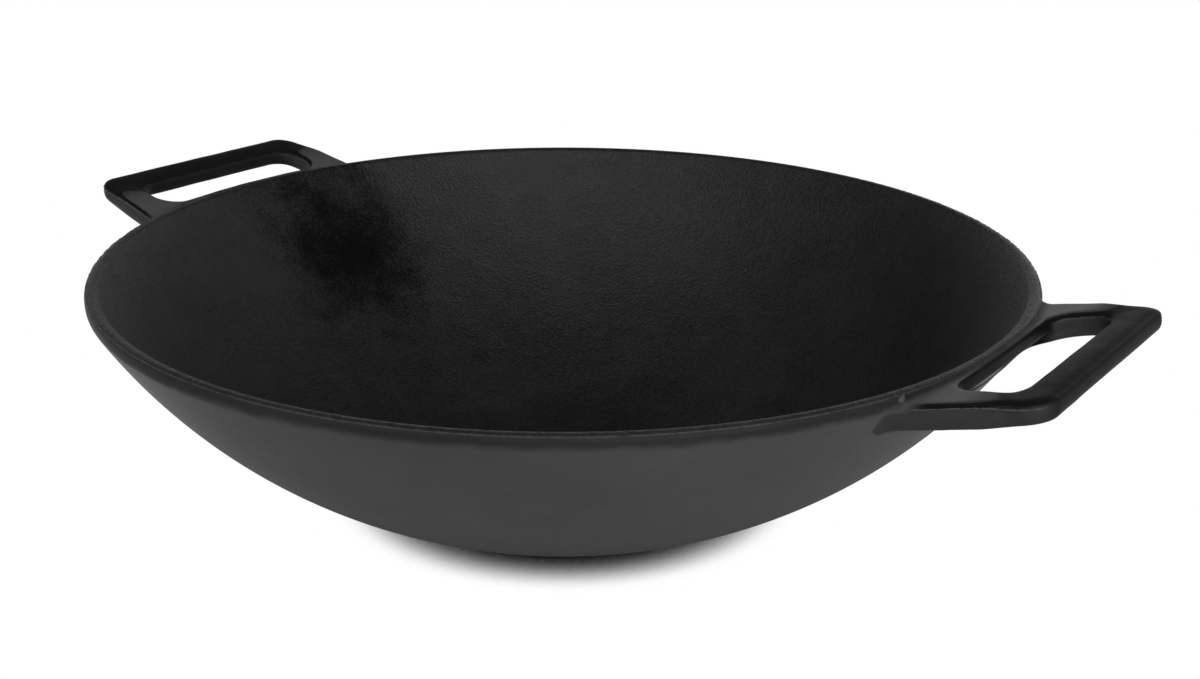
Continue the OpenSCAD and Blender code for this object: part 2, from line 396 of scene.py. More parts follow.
class Value:
    """A number socket that Python sums can be written with."""

    def __init__(self, nodes, socket):
        self.nodes = nodes
        self.socket = socket

    def math(self, operation, *others, clamp=False):
        """What a Math node makes of this value and the others."""
        settings = {"operation": operation, "use_clamp": clamp}
        return self.nodes.value("ShaderNodeMath", 0, settings, dict(enumerate((self, *others))))

    def flipped(self, operation, other):
        """What a Math node makes of another value and this one after it."""
        return self.nodes.value("ShaderNodeMath", 0, {"operation": operation}, {0: other, 1: self})

    def __add__(self, other):
        return self.math("ADD", other)

    def __sub__(self, other):
        return self.math("SUBTRACT", other)

    def __rsub__(self, other):
        return self.flipped("SUBTRACT", other)

    def __mul__(self, other):
        return self.math("MULTIPLY", other)

    def __truediv__(self, other):
        return self.math("DIVIDE", other)

    def __rtruediv__(self, other):
        return self.flipped("DIVIDE", other)

    __radd__ = __add__
    __rmul__ = __mul__

    def clamped(self):
        """The value kept between 0 and 1."""
        return self.math("MULTIPLY", 1.0, clamp=True)

    def rises(self, low, high):
        """0 below low and 1 above high, with a smooth step between them."""
        inputs = {"Value": self, "From Min": low, "From Max": high}
        return self.nodes.value("ShaderNodeMapRange", "Result", {"interpolation_type": "SMOOTHSTEP"}, inputs)


class Nodes:
    """Adds nodes to one tree."""

    # Places of the colour sockets of a Mix node, which share their names with others
    MIX_A, MIX_B, MIX_RESULT = 6, 7, 2

    def __init__(self, tree):
        self.tree = tree
        tree.nodes.clear()

    def add(self, kind, settings=None, inputs=None):
        """One node, with its settings made first and then its sockets set or linked."""
        node = self.tree.nodes.new(kind)
        for key, value in (settings or {}).items():
            setattr(node, key, value)
        for key, value in (inputs or {}).items():
            self.feed(node.inputs[key], value)
        return node

    def feed(self, socket, value):
        """Sets a socket, or links it with a value, with a socket or with the first one that a node gives."""
        if isinstance(value, Value):
            value = value.socket
        if isinstance(value, bpy.types.Node):
            value = value.outputs[0]
        if isinstance(value, bpy.types.NodeSocket):
            self.tree.links.new(value, socket)
        elif socket.type == "RGBA":
            # A colour is given by its three parts, and covers fully
            socket.default_value = (*value, 1.0)
        else:
            socket.default_value = value

    def value(self, kind, output, settings=None, inputs=None):
        """A number that a node gives."""
        return Value(self, self.add(kind, settings, inputs).outputs[output])

    def parts(self, place):
        """The three parts of a place as numbers."""
        split = self.add("ShaderNodeSeparateXYZ", {}, {0: place})
        return tuple(Value(self, split.outputs[name]) for name in "XYZ")

    def mix(self, factor, first, second):
        """A colour between two others."""
        inputs = {"Factor": factor, self.MIX_A: first, self.MIX_B: second}
        return self.add("ShaderNodeMix", {"data_type": "RGBA"}, inputs).outputs[self.MIX_RESULT]

    def shaders(self, factor, first, second):
        """A surface between two others."""
        return self.add("ShaderNodeMixShader", {}, {0: factor, 1: first, 2: second})

    def bump(self, height, depth):
        """Grain of a height, where 1 is as high as depth."""
        return self.add("ShaderNodeBump", {}, {"Height": height, "Distance": depth, "Strength": 1.0})

    def noise(self, place, look, kind):
        """One of the noises that the look of the iron is made of."""
        detail, roughness = NOISES[kind]
        inputs = {"Scale": getattr(look, kind + "_scale"), "Detail": detail, "Roughness": roughness}
        return self.value("ShaderNodeTexNoise", "Fac", {}, {"Vector": place, **inputs})


def fresh_nodes(owner):
    """The emptied nodes of a new material or world."""
    owner.use_nodes = True
    return Nodes(owner.node_tree)


def weighed(values, shares):
    """Sum of some values, each times its share."""
    total, *rest = (value * part for value, part in zip(values, shares))
    for value in rest:
        total = total + value
    return total


def far(x, y):
    """Distance from zero of a point with the two parts."""
    return (x * x + y * y).math("SQRT")


def geometry_tree(name, inputs):
    """Nodes of a tree that takes a mesh, the named inputs and a material, and the sockets of those."""
    tree = bpy.data.node_groups.new(name, "GeometryNodeTree")
    for label, kind in {"Geometry": "Geometry", **inputs, "Material": "Material"}.items():
        tree.interface.new_socket(label, in_out="INPUT", socket_type="NodeSocket" + kind)
    tree.interface.new_socket("Geometry", in_out="OUTPUT", socket_type="NodeSocketGeometry")
    nodes = Nodes(tree)
    return nodes, nodes.add("NodeGroupInput").outputs


def ended(nodes, given, geometry):
    """The tree, closed off with smooth, real faces of one material."""
    smooth = nodes.add("GeometryNodeSetShadeSmooth", {}, {"Geometry": geometry})
    real = nodes.add("GeometryNodeRealizeInstances", {}, {"Geometry": smooth})
    painted = nodes.add("GeometryNodeSetMaterial", {}, {"Geometry": real, "Material": given["Material"]})
    nodes.add("NodeGroupOutput", {}, {0: painted})
    return nodes.tree


def placed(name, data):
    """A new object in the scene."""
    piece = bpy.data.objects.new(name, data)
    bpy.context.scene.collection.objects.link(piece)
    return piece


def grown(name, points, edges, tree, inputs):
    """The object that a Geometry Nodes tree makes of a chain of points."""
    path = bpy.data.meshes.new(name + "_path")
    path.from_pydata([tuple(p) for p in points], edges, [])
    piece = placed(name, path)
    modifier = piece.modifiers.new("Grow", "NODES")
    modifier.node_group = tree
    for item in tree.interface.items_tree:
        if item.in_out == "INPUT" and item.name in inputs:
            modifier[item.identifier] = inputs[item.name]
    evaluated = piece.evaluated_get(bpy.context.evaluated_depsgraph_get())
    made = bpy.data.meshes.new_from_object(evaluated)
    piece.modifiers.remove(modifier)
    piece.data = made
    bpy.data.meshes.remove(path)
    made.name = name
    return piece


def chain(count, closed=False):
    """Edges that join points one after another."""
    edges = [(i, i + 1) for i in range(count - 1)]
    return edges + [(count - 1, 0)] if closed else edges


def turned_tree():
    """Turns a half section, given as a chain of points, into a round body."""
    nodes, given = geometry_tree("Turn on the axis", {"Turns": "Int"})
    section = given["Geometry"]
    turns = Value(nodes, given["Turns"])
    count = nodes.value(
        "GeometryNodeAttributeDomainSize", "Point Count", {"component": "MESH"}, {"Geometry": section}
    )
    grid = nodes.add("GeometryNodeMeshGrid", {}, {"Vertices X": turns + 1.0, "Vertices Y": count})
    index = nodes.value("GeometryNodeInputIndex", "Index")
    column = (index / count + ROUNDING).math("FLOOR")
    row = index - column * count
    place = nodes.add(
        "GeometryNodeSampleIndex",
        {"data_type": "FLOAT_VECTOR", "domain": "POINT"},
        {"Geometry": section, "Value": nodes.add("GeometryNodeInputPosition"), "Index": row},
    )
    radius, _, height = nodes.parts(place)
    turn = column / turns * TAU
    inputs = {"X": radius * turn.math("COSINE"), "Y": radius * turn.math("SINE"), "Z": height}
    spot = nodes.add("ShaderNodeCombineXYZ", {}, inputs)
    moved = nodes.add("GeometryNodeSetPosition", {}, {"Geometry": grid, "Position": spot})
    closed = nodes.add("GeometryNodeMergeByDistance", {}, {"Geometry": moved, "Distance": WELD})
    return ended(nodes, given, closed)


def turned(name, outline, turns, material):
    """The round body of a half section."""
    points = np.insert(outline, 1, 0, axis=1)
    return grown(name, points, chain(len(points)), turned_tree(), {"Turns": turns, "Material": material})


def facing_out(mesh):
    """Turns a closed mesh's faces outwards, if its volume says that they point in."""
    mesh.calc_loop_triangles()
    points = np.empty(len(mesh.vertices) * 3)
    mesh.vertices.foreach_get("co", points)
    corners = np.empty(len(mesh.loop_triangles) * 3, np.int32)
    mesh.loop_triangles.foreach_get("vertices", corners)
    a, b, c = points.reshape(-1, 3)[corners.reshape(-1, 3)].transpose(1, 0, 2)
    if np.einsum("ij,ij->", a, np.cross(b, c)) < 0:
        mesh.flip_normals()


def finished(piece, nodes):
    """Sets a piece on the model in place of the nodes that it stands for."""
    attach(piece, BODY)
    if nodes:
        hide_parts(*nodes)


def iron_shader(nodes, skin, rough, specular, normal):
    """Surface of one skin."""
    inputs = {"Base Color": skin, "Roughness": rough, "Specular IOR Level": specular, "Normal": normal}
    return nodes.add("ShaderNodeBsdfPrincipled", {}, inputs)


def iron_material(name, look, dark, inside=None):
    """Seasoned cast iron.

    dark gives the mask of the painted shade, a darker and less glossy copy of the skin on the upper sides,
    or is a number where that is even, and inside gives those of the bowl's sandier inside and of the dark
    patch on it, which is partly burnt oil and partly painted shade.
    """
    material = bpy.data.materials.new(name)
    nodes = fresh_nodes(material)
    place = nodes.add("ShaderNodeTexCoord").outputs["Object"]
    patches, blotches, *grains = (nodes.noise(place, look, kind) for kind in SKIN_NOISES)
    pebbles = grains[0]

    worn = weighed((patches.rises(*PATCH_BAND), blotches.rises(*BLOTCH_BAND)), WEAR_SHARES).clamped()
    rough = (look.roughness + weighed((patches - 0.5, pebbles - 0.5), ROUGH_SHARES)).clamped()
    normal = nodes.bump(weighed(grains, GRAIN_SHARES), look.grain)
    pale_skin = nodes.mix(worn, look.skin, look.worn)
    # The deep copy is painted shade: the same skin made near black and less glossy, laid on where the mask
    # falls.
    painted_shade = nodes.mix(worn, look.painted_shade, look.painted_shade_worn)
    pale = iron_shader(nodes, pale_skin, rough, look.specular, normal)
    deep = iron_shader(nodes, painted_shade, rough, look.painted_shade_specular, normal)
    surface = nodes.shaders(dark(nodes, place) if callable(dark) else dark, pale, deep)
    if inside:
        mask, stain_and_shade_mask = inside(nodes, place)
        normal = nodes.bump(weighed(grains, SAND_GRAIN_SHARES), look.sand_grain)
        speckle = weighed((pebbles.rises(*SPECKLE_BAND), worn), SPECKLE_SHARES).clamped()
        sandy = nodes.mix(speckle, look.oiled, look.sandy)
        within = iron_shader(nodes, sandy, rough, look.inner_specular, normal)
        # The burnt surface is partly burnt oil and partly painted shade: near black and barely mirroring
        # where no lamp shows inside.
        burnt = iron_shader(nodes, look.stain_and_shade, rough, look.stain_and_shade_specular, normal)
        surface = nodes.shaders(mask, surface, nodes.shaders(stain_and_shade_mask, within, burnt))
    nodes.add("ShaderNodeOutputMaterial", {}, {"Surface": surface})
    return material


def rim_shade_mask(bowl, look):
    """Mask of the painted shade on the rim, which fades raggedly a little below the lip."""
    end = bowl.height - look.shade_from

    def mask(nodes, place):
        height = nodes.parts(place)[2]
        ragged = (nodes.noise(place, look, "blotch") - 0.5) * look.shade_ragged
        return (height + ragged).rises(end, end + look.shade_blend) * look.rim_shade

    return mask


def handle_shade_mask(handle, bowl, look):
    """Mask of the painted shade on a handle: its grip, the brow above its seam, and the web's side."""
    sine, cosine = math.sin(handle.tilt), math.cos(handle.tilt)
    root_height = bowl.height - handle.drop
    root, tip = handle.width / 2 - handle.arm_root, handle.width / 2 - handle.taper
    seam, fade = handle.arm_seam, look.brow_fade
    top, side = handle.arm_thick / 2 - fade / 2, handle.web + fade
    rim = rim_shade_mask(bowl, look)

    def mask(nodes, place):
        x, y, z = nodes.parts(place)
        out, aside = x.math("ABSOLUTE") - bowl.rim_radius, y.math("ABSOLUTE")
        along = out * cosine + (z - root_height) * sine
        up = (z - root_height) * cosine - out * sine
        ragged = (nodes.noise(place, look, "brow") - 0.5) * look.brow_ragged
        under_top = 1.0 - up.rises(top - fade, top)
        grip = along.rises(look.grip_from, look.grip_from + look.grip_fade)
        brow = (up + ragged).rises(seam - fade / 2, seam + fade / 2) * under_top
        brow = brow * along.rises(-look.brow_start, 0.0)
        under = 1.0 - up.rises(seam - look.under_fade, seam)
        flank = under * aside.rises(tip - handle.corner, tip) * (1.0 - look.corner_shade)
        beside = 1.0 - along.rises(side, side + look.side_fade)
        between = 1.0 - aside.rises(root - look.end_fade, root)
        lip = rim(nodes, place) * (1.0 - (far(x, y) - bowl.rim_radius).rises(fade, look.shade_blend))
        most = grip * (1.0 - flank)
        for part in (brow, under * look.arm_shade, beside * between * under_top, lip):
            most = most.math("MAXIMUM", part)
        return most

    return mask


def inside_mask(section, look):
    """Masks of the bowl's inside, and of the dark patch on it, partly burnt oil and partly painted shade."""
    s = section.sizes
    middle, blend = s.side_radius - s.wall / 2, s.wall * INSIDE_BLEND_SHARE
    centre_x, centre_z = (float(v) for v in section.centre)
    stain_and_shade_x, stain_and_shade_y = look.stain_and_shade_place

    def mask(nodes, place):
        x, y, z = nodes.parts(place)
        reach = far(far(x, y) - centre_x, z - centre_z)
        inside = 1.0 - reach.rises(middle - blend, middle + blend)
        edge = (nodes.noise(place, look, kind) - 0.5 for kind in ("stain_and_shade", "pebble"))
        away = far((x - stain_and_shade_x) / look.stain_and_shade_wide, (y - stain_and_shade_y) / look.stain_and_shade_high)
        away = away + weighed(edge, (look.stain_and_shade_ragged, look.stain_and_shade_speckled))
        return inside, 1.0 - away.rises(look.stain_and_shade_core, 1.0)

    return mask


class WOK_OT_bowl(bpy.types.Operator):
    """Make the bowl: foot, side and rim"""

    bl_idname = "wok.bowl"
    bl_label = "Make the bowl"

    def execute(self, context):
        sizes, look = context.scene.wok_bowl, context.scene.wok_iron
        section = Section(sizes)
        # The rim's mask lays painted shade on the rim. The inside's mask also lays the dark patch of burnt
        # oil and painted shade.
        masks = rim_shade_mask(sizes, look), inside_mask(section, look)
        material = iron_material("Seasoned iron, bowl", look, *masks)
        bowl = turned("bowl", section.whole(), sizes.turns, material)
        facing_out(bowl.data)
        finished(bowl, ["flat_base", "lower_wall", "upper_wall", "rim"])
        return {"FINISHED"}


def trapezoid(along, across, low, high, half_low, half_high, rounding):
    """Signed distance in a plane to a trapezoid with rounded corners.

    It runs from low to high along its axis, with half widths half_low and half_high there.
    """
    slope = (half_high - half_low) / (high - low)
    lean = math.hypot(1, slope)
    low_in, high_in = low + rounding, high - rounding
    wide_low = half_low + slope * rounding - rounding * lean
    wide_high = half_high - slope * rounding - rounding * lean
    half = (high_in - low_in) / 2
    y = along - (high_in + low_in) / 2
    x = np.abs(across)
    end_x = x - np.minimum(x, np.where(y < 0, wide_low, wide_high))
    end_y = np.abs(y) - half
    side_x, side_y = wide_high - wide_low, 2 * half
    up_share = ((wide_high - x) * side_x + (half - y) * side_y) / (side_x**2 + side_y**2)
    up_share = np.clip(up_share, 0, 1)
    flank_x = x - wide_high + side_x * up_share
    flank_y = y - half + side_y * up_share
    sign = np.where((flank_x < 0) & (end_y < 0), -1.0, 1.0)
    nearest = np.minimum(end_x**2 + end_y**2, flank_x**2 + flank_y**2)
    return sign * np.sqrt(nearest) - rounding


def skin_distance(r, z, skin):
    """Signed distance to the bowl's outer skin, an outline that bulges outwards everywhere."""
    nearest = np.full(r.shape, np.inf)
    beyond = np.full(r.shape, -np.inf)
    for a, b in zip(skin[:-1], skin[1:]):
        way = b - a
        size = np.hypot(*way)
        along = ((r - a[0]) * way[0] + (z - a[1]) * way[1]) / size
        off = ((r - a[0]) * way[1] - (z - a[1]) * way[0]) / size
        past = along - np.clip(along, 0, size)
        nearest = np.minimum(nearest, off**2 + past**2)
        beyond = np.maximum(beyond, off)
    return np.where(beyond > 0, 1.0, -1.0) * np.sqrt(nearest)


def soft_min(a, b, size):
    """The smaller of two distances, with the corner between them filled over a size."""
    mix = np.clip(0.5 + 0.5 * (b - a) / size, 0, 1)
    return b * (1 - mix) + a * mix - size * mix * (1 - mix)


def soft_max(a, b, size):
    """The larger of two distances, with the corner between them rounded over a size."""
    return -soft_min(-a, -b, size)


def smooth_step(t):
    """0 below 0 and 1 above 1, with a smooth step between them."""
    t = np.clip(t, 0, 1)
    return t * t * (3 - 2 * t)


class HandleShape:
    """One handle as a field of distances, in its own plane: out from the rim, sideways, and up."""

    def __init__(self, sizes, section):
        self.sizes = sizes
        self.bowl = section.sizes
        skin = section.outer()
        skin = skin[skin[:, 1] > self.bowl.height / 2]
        self.skin = points_of(skin, skin[-1] - (self.bowl.wall, 0))
        self.origin = np.array([self.bowl.rim_radius, 0, self.bowl.height - sizes.drop])
        deep = sizes.reach - sizes.grip_width - sizes.web
        self.window_corner = min(sizes.window_corner, WINDOW_ROUND_SHARE * deep)
        c, s = math.cos(sizes.tilt), math.sin(sizes.tilt)
        self.axes = np.array([[c, 0, s], [0, 1, 0], [-s, 0, c]])

    def to_model(self, points):
        """Points of the handle's plane as points of the model."""
        return self.origin + points @ self.axes

    def half_width(self, along):
        """Half of the outside width at a distance from the rim."""
        s = self.sizes
        return s.width / 2 - s.taper * along / s.reach

    def window(self, along, across):
        """Distance in plan to the window: negative in the opening."""
        s = self.sizes
        far_side = s.reach - s.grip_width
        root, tip = s.width / 2 - s.arm_root, self.half_width(s.reach) - s.arm_tip
        return trapezoid(along, across, s.web, far_side, root, tip, self.window_corner)

    def hollow(self, along, across, up):
        """Distance to the hollow under the web, which runs in to the bowl's skin."""
        s = self.sizes
        root = s.width / 2 - s.arm_root - s.relief_inset
        far_side = s.web + self.window_corner
        plan = trapezoid(along, across, -s.relief_in, 2 * s.reach, root, root, s.relief_corner)
        return np.maximum.reduce([plan, along - far_side, up + s.relief_top])

    def plan(self, along, across):
        """Distance in plan to the frame: negative in the metal."""
        s = self.sizes
        inner = -self.bowl.rim_radius / 2
        halves = self.half_width(inner), self.half_width(s.reach)
        outer = trapezoid(along, across, inner, s.reach, *halves, s.corner)
        return np.maximum(outer, -self.window(along, across))

    def bend(self, along, across):
        """0 on the arms and 1 on the grip, changing round the corner between them."""
        s = self.sizes
        centre = s.reach - s.grip_width - self.window_corner
        side = self.half_width(s.reach) - s.arm_tip - self.window_corner
        turn = np.arctan2(along - centre, np.abs(across) - side)
        return smooth_step(turn / s.bend_turn)

    def seam_height(self, along, across):
        """Height of the seam above the handle's middle."""
        s = self.sizes
        return s.arm_seam + (s.grip_seam - s.arm_seam) * self.bend(along, across)

    def bar(self, points):
        """Distance to the frame alone. Its section is widest at the seam and rounded above and below."""
        s = self.sizes
        tiny = s.cell * TINY_SHARE
        along, across, up = points.T
        bend = self.bend(along, across)
        half = (s.arm_thick + (s.grip_thick - s.arm_thick) * bend) / 2
        seam = self.seam_height(along, across)
        above = up > seam
        edge = np.where(above, s.arm_brow + (s.grip_brow - s.arm_brow) * bend, s.belly)
        inward = np.maximum(edge + self.plan(along, across), 0)
        rise = np.abs(up - seam)
        gauge = (inward / edge) ** s.power + (rise / np.where(above, half - seam, half + seam)) ** s.power
        size = np.hypot(inward, rise) + tiny
        return size - size / (gauge ** (1 / s.power) + tiny)

    def field(self, points):
        """Distance to the handle with its fillets, cut off a little under the bowl's skin."""
        s = self.sizes
        model = self.to_model(points)
        along, across, up = points.T
        skin = skin_distance(np.hypot(model[:, 0], model[:, 1]), model[:, 2], self.skin)
        bar = self.bar(points)
        joined = soft_min(bar, skin + s.skin_lift, s.fillet)
        joined = soft_max(joined, up - s.arm_thick / 2 - s.fillet_rise, s.fillet_round)
        joined = soft_max(joined, -self.hollow(along, across, up), s.relief_round)
        return np.maximum.reduce([joined, bar - s.fillet, -(skin + s.bury)])

    def reach_box(self):
        """Low and high corner of the space that the handle is in."""
        s, rim = self.sizes, self.bowl.rim_radius
        side = s.width / 2 + s.fillet + NET_MARGIN
        dip = rim - math.sqrt(rim**2 - side**2)
        up = s.arm_thick / 2 + s.fillet + NET_RISE
        return np.array([-dip - NET_BACK, -side, -up]), np.array([s.reach + NET_MARGIN, side, up])


def surface_net(field, low, high, cell):
    """Points and faces of the surface where a field is zero, on a net of cubes."""
    counts = np.ceil((high - low) / cell).astype(int) + 1
    axes = [low[i] + cell * np.arange(counts[i]) for i in range(3)]
    grid = np.stack(np.meshgrid(*axes, indexing="ij"), -1)
    values = field(grid.reshape(-1, 3)).reshape(counts)
    cells = counts - 1
    ways = np.eye(3, dtype=int)

    def corner_values(start):
        """Values at one corner of every cube, which start picks."""
        return values[tuple(slice(first, first + count) for first, count in zip(start, cells))]

    # The point of a cube is the mean of the places where the surface cuts its edges
    total = np.zeros((*cells, 3))
    found = np.zeros(cells)
    for axis, corner in itertools.product(range(3), itertools.product((0, 1), repeat=2)):
        start = np.insert(corner, axis, 0)
        a, b = corner_values(start), corner_values(start + ways[axis])
        crossed = (a < 0) != (b < 0)
        spot = np.broadcast_to(start.astype(float), (*cells, 3)).copy()
        spot[..., axis] = np.where(crossed, a / np.where(crossed, a - b, 1), 0)
        total += spot * crossed[..., None]
        found += crossed
    used = found > 0
    number = np.cumsum(used.ravel()).reshape(cells) - 1
    spots = np.argwhere(used) + total[used] / found[used][:, None]

    # Each edge that the surface cuts gives a face with the points of the four cubes round it
    faces = []
    for axis in range(3):
        u, v = (axis + 1) % 3, (axis + 2) % 3
        at = np.argwhere(np.diff(values < 0, axis=axis))
        at = at[((at > 0) & (at < cells))[:, [u, v]].all(axis=1)]
        ring = (0, ways[u], ways[u] + ways[v], ways[v])
        quads = np.stack([number[tuple((at - back).T)] for back in ring], -1)
        below = values[tuple(at.T)] < 0
        faces.append(np.where(below[:, None], quads, quads[:, ::-1]))
    return low + cell * spots, np.concatenate(faces)


def slopes(field, points, cell):
    """Slope of a field at each point."""
    small = cell * SLOPE_SHARE
    ends = [field(points + small * way) - field(points - small * way) for way in np.eye(3)]
    return np.stack(ends, -1) / (2 * small)


def pulled(points, field, cell):
    """Points moved on to the surface where a field is zero."""
    for _ in range(PULLS):
        slope = slopes(field, points, cell)
        move = -slope * (field(points) / (np.sum(slope**2, -1) + LEAST_SLOPE))[:, None]
        size = np.linalg.norm(move, axis=1, keepdims=True)
        points = points + move * np.minimum(1, cell / 2 / (size + LEAST_LENGTH))
    return points


def mesh_object(name, points, faces, material):
    """A smooth closed piece of points and faces."""
    mesh = bpy.data.meshes.new(name)
    mesh.from_pydata(points.tolist(), [], faces.tolist())
    mesh.materials.append(material)
    mesh.shade_smooth()
    mesh.update()
    facing_out(mesh)
    return placed(name, mesh)


def wavered(points, normals, depth, scale):
    """Points moved in by the slow unevenness of a sand casting, by depth at most."""
    swell = np.array([noise.noise(Vector(p / scale)) for p in points])
    return points + normals * depth * (np.clip(swell, -0.5, 0.5) - 0.5)[:, None]


class WOK_OT_handles(bpy.types.Operator):
    """Make the two handles, each flowing into the bowl"""

    bl_idname = "wok.handles"
    bl_label = "Make the handles"

    def execute(self, context):
        scene = context.scene
        sizes, bowl, look = scene.wok_handle, scene.wok_bowl, scene.wok_iron
        shape = HandleShape(sizes, Section(bowl))
        points, faces = surface_net(shape.field, *shape.reach_box(), sizes.cell)
        points = pulled(points, shape.field, sizes.cell)
        slope = slopes(shape.field, points, sizes.cell) @ shape.axes
        slope /= np.linalg.norm(slope, axis=1, keepdims=True)
        points = wavered(shape.to_model(points), slope, sizes.waver, sizes.waver_size)
        # The handles' mask lays painted shade on the grips, the arms and the webs.
        material = iron_material("Seasoned iron, handles", look, handle_shade_mask(sizes, bowl, look))
        for side, turn in (("right", 1), ("left", -1)):
            piece = mesh_object(f"{side}_handle", points * (turn, turn, 1), faces, material)
            finished(piece, [f"{side}_{part}" for part in ("root", "front_arm", "rear_arm", "grip")])
        return {"FINISHED"}


def flash_tree():
    """A thin tube along a chain of points, that swells into beads."""
    nodes, given = geometry_tree("Mould flash", dict.fromkeys((*FLASH_INPUTS, "Seed"), "Float"))
    path = nodes.add("GeometryNodeMeshToCurve", {}, {"Mesh": given["Geometry"]})
    inputs = {"Curve": path, "Length": given["Step"]}
    even = nodes.add("GeometryNodeResampleCurve", {"mode": "LENGTH"}, inputs)
    inputs = {"Vector": nodes.add("GeometryNodeInputPosition"), "W": given["Seed"], "Detail": FLASH_DETAIL}
    beads, stretches = (
        nodes.value(
            "ShaderNodeTexNoise", "Fac", {"noise_dimensions": "4D"}, {**inputs, "Scale": given[label]}
        )
        for label in ("Bead scale", "Stretch scale")
    )
    thin, lift = Value(nodes, given["Thin"]), Value(nodes, given["Swell"])
    rest = 1.0 - thin - lift
    swell = thin + beads.rises(*BEAD_BAND) * lift + stretches.rises(*STRETCH_BAND) * rest
    inputs = {"Resolution": FLASH_SIDES, "Radius": 1.0}
    ring = nodes.add("GeometryNodeCurvePrimitiveCircle", {"mode": "RADIUS"}, inputs)
    radius = Value(nodes, given["Bead"]) * swell
    inputs = {"Curve": even, "Profile Curve": ring, "Scale": radius, "Fill Caps": True}
    return ended(nodes, given, nodes.add("GeometryNodeCurveToMesh", {}, inputs))


def rim_path(bowl, flash):
    """Middle line of the flash round the rim."""
    depth = bowl.outer_round - flash.sink
    radius = bowl.rim_radius - bowl.outer_round + depth * math.cos(flash.rim_turn)
    height = bowl.height - bowl.outer_round + depth * math.sin(flash.rim_turn)
    turns = np.linspace(0, TAU, bowl.turns, endpoint=False)
    return np.stack([radius * np.cos(turns), radius * np.sin(turns), np.full(len(turns), height)], -1)


def seam_path(shape, sink, start):
    """Middle line of the seam along the outer side of an arm, from the root on to the grip."""
    s = shape.sizes
    tip = np.array([s.reach, shape.half_width(s.reach)])
    root = np.array([start, shape.half_width(start)])
    back = (root - tip) / np.linalg.norm(root - tip)
    on = np.array([0.0, -1.0])
    half = math.acos(back @ on) / 2
    inward = (back + on) / np.linalg.norm(back + on)
    centre = tip + inward * s.corner / math.sin(half)
    touch = s.corner / math.tan(half)
    straight = line(root, tip + back * touch, SEAM_STEPS)
    bend = arc(centre, straight[-1], tip + (back + on) * touch / 2, SEAM_BEND_STEPS)
    path = points_of(straight, bend)
    on_arm, on_bend = path[: len(straight)], path[len(straight) :]
    on_arm += np.array([back[1], -back[0]]) * sink
    on_bend += (centre - on_bend) / s.corner * sink
    return np.column_stack([path, shape.seam_height(*path.T)])


def lump_distance(points, size):
    """Distance to a lump of burnt-on iron: a leaning ridge with two knobs on it."""
    distance = np.full(len(points), size)
    for height, width, depth in KNOB_SHARES:
        shape = np.array([depth, width, width * KNOB_TALL_SHARE]) * size
        away = np.linalg.norm((points - (0, 0, height * size)) / shape, axis=1)
        distance = soft_min(distance, (away - 1) * shape.min(), size * KNOB_BLEND_SHARE)
    rough = np.array([noise.noise(Vector(p / size * LUMP_SWELLS)) for p in points])
    return distance + rough * size * LUMP_ROUGH_SHARE


def rim_lump(bowl, flash, material):
    """The lump of burnt-on iron on the rim."""
    size = flash.lump_size
    reach = np.full(3, size)
    points, faces = surface_net(lambda p: lump_distance(p, size), -reach, reach, size / LUMP_CELLS)
    turn = Matrix.Rotation(flash.lump_turn, 3, "Z")
    lean = Matrix.Rotation(flash.lump_lean, 3, "X")
    points = points @ np.array(turn @ lean).T
    points += np.array(turn @ Vector((bowl.rim_radius, 0, 0))) + (0, 0, bowl.height - flash.lump_drop)
    return mesh_object("rim_lump", points, faces, material)


class WOK_OT_flash(bpy.types.Operator):
    """Make the beaded flash line on the rim and on the handles, and the lump on the rim"""

    bl_idname = "wok.flash"
    bl_label = "Make the mould flash"

    def execute(self, context):
        scene = context.scene
        flash, bowl, look = scene.wok_flash, scene.wok_bowl, scene.wok_iron
        shape = HandleShape(scene.wok_handle, Section(bowl))
        pale = iron_material("Seasoned iron, handle flash", look, 0.0)
        # The rim's flash takes a share of the painted shade, which dims its beads.
        shaded_flash = iron_material("Seasoned iron, rim flash", look, look.flash_shade)
        ring = rim_path(bowl, flash)
        seam = seam_path(shape, flash.sink, -flash.seam_in)
        edges = chain(len(seam))
        both = edges + [(i + len(seam), j + len(seam)) for i, j in edges]
        seams = shape.to_model(np.concatenate([seam, seam * (1, -1, 1)]))
        lines = {
            "rim_flash": (ring, chain(len(ring), closed=True), shaded_flash),
            "right_handle_flash": (seams, both, pale),
            "left_handle_flash": (seams * (-1, -1, 1), both, pale),
        }
        tree = flash_tree()
        inputs = {label: getattr(flash, label.lower().replace(" ", "_")) for label in FLASH_INPUTS}
        for number, (name, (points, edges, material)) in enumerate(lines.items()):
            own = {"Seed": SEED_STEP * number, "Material": material}
            piece = grown(name, points, edges, tree, {**inputs, **own})
            facing_out(piece.data)
            finished(piece, [])
        finished(rim_lump(bowl, flash, pale), [])
        return {"FINISHED"}


def floor_material(studio):
    """White floor that the camera and mirrors see as white, with the shadow close under the bowl."""
    material = bpy.data.materials.new("White floor")
    nodes = fresh_nodes(material)
    rays = nodes.add("ShaderNodeLightPath").outputs
    camera, glossy, through = (
        Value(nodes, rays[f"Is {kind} Ray"]) for kind in ("Camera", "Glossy", "Transmission")
    )
    mirrored = (glossy + through).clamped()
    tight, wide = (
        nodes.value("ShaderNodeAmbientOcclusion", "AO", {"samples": SKY_SAMPLES}, {"Distance": reach})
        for reach in (studio.contact, studio.shade)
    )
    glow = tight.rises(studio.contact_dark, studio.contact_light) * camera + wide * mirrored
    shown = nodes.add("ShaderNodeEmission", {}, {"Color": WHITE, "Strength": glow})
    lit = nodes.add("ShaderNodeBsdfDiffuse", {}, {"Color": studio.paint})
    both = nodes.shaders(camera + mirrored, lit, shown)
    nodes.add("ShaderNodeOutputMaterial", {}, {"Surface": both})
    return material


